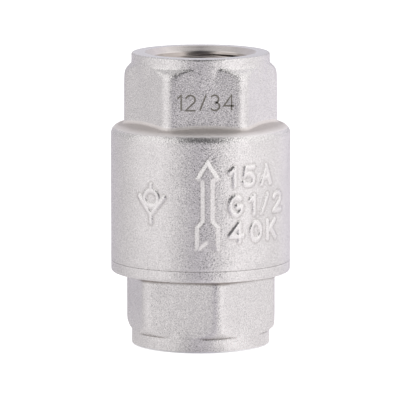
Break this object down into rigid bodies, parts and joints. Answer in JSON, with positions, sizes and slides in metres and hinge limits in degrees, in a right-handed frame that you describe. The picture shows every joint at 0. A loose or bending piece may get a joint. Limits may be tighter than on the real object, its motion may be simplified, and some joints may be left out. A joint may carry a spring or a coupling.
{
  "type": "check valve",
  "caption": "In-line spring check valve: a barrel casting with a spanner hexagon and female pipe thread at each end, screwed to its inlet cap, with a sprung poppet inside.",
  "frame": {"origin": "centre of the inlet port's face, which is also the centre of the bottom of the bounding box", "axes": "+Z along the flow, from the inlet to the outlet; -Y towards the flow arrow and a flat of the upper hexagon; +X to the right of the arrow"},
  "size_m": [0.0356, 0.0364, 0.058],
  "materials": {
    "cast_stainless": "investment-cast stainless steel, shot-blasted, with turned rim faces, bores and threads",
    "turned_stainless": "turned stainless steel",
    "spring_steel": "bright drawn stainless spring steel",
    "ptfe": "white PTFE, waxy"
  },
  "bodies": {
    "inlet_cap": {"inlet_cap": "cast_stainless"},
    "gasket": {"cap_gasket": "ptfe"},
    "valve_body": {"valve_body": "cast_stainless", "stem_guide": "turned_stainless", "guide_bush": "ptfe", "guide_circlip": "spring_steel", "spring_washer": "turned_stainless", "return_spring": "spring_steel"},
    "poppet": {"poppet_disc": "turned_stainless", "poppet_stem": "turned_stainless", "seat_seal": "ptfe", "seal_retainer": "turned_stainless", "lock_washer": "spring_steel", "retainer_nut": "turned_stainless", "stem_clip": "spring_steel"}
  },
  "joints": [
    {"name": "thread_rise", "type": "slide", "parent": "inlet_cap", "child": "gasket", "axis": [0, 0, 1], "range_m": [0, 0.012]},
    {"name": "body_unscrew", "type": "hinge", "parent": "gasket", "child": "valve_body", "pos_m": [0, 0, 0.0215], "axis": [0, 0, 1], "range_deg": [0, 2881]},
    {"name": "poppet_lift", "type": "slide", "parent": "valve_body", "child": "poppet", "axis": [0, 0, 1], "range_m": [0, 0.004], "stiffness_N_per_m": 150, "springref_m": -0.006, "deforming": ["return_spring"]}
  ],
  "couplings": [
    {"joint": "body_unscrew", "follows": "thread_rise", "rad_per_m": 4188.8}
  ]
}
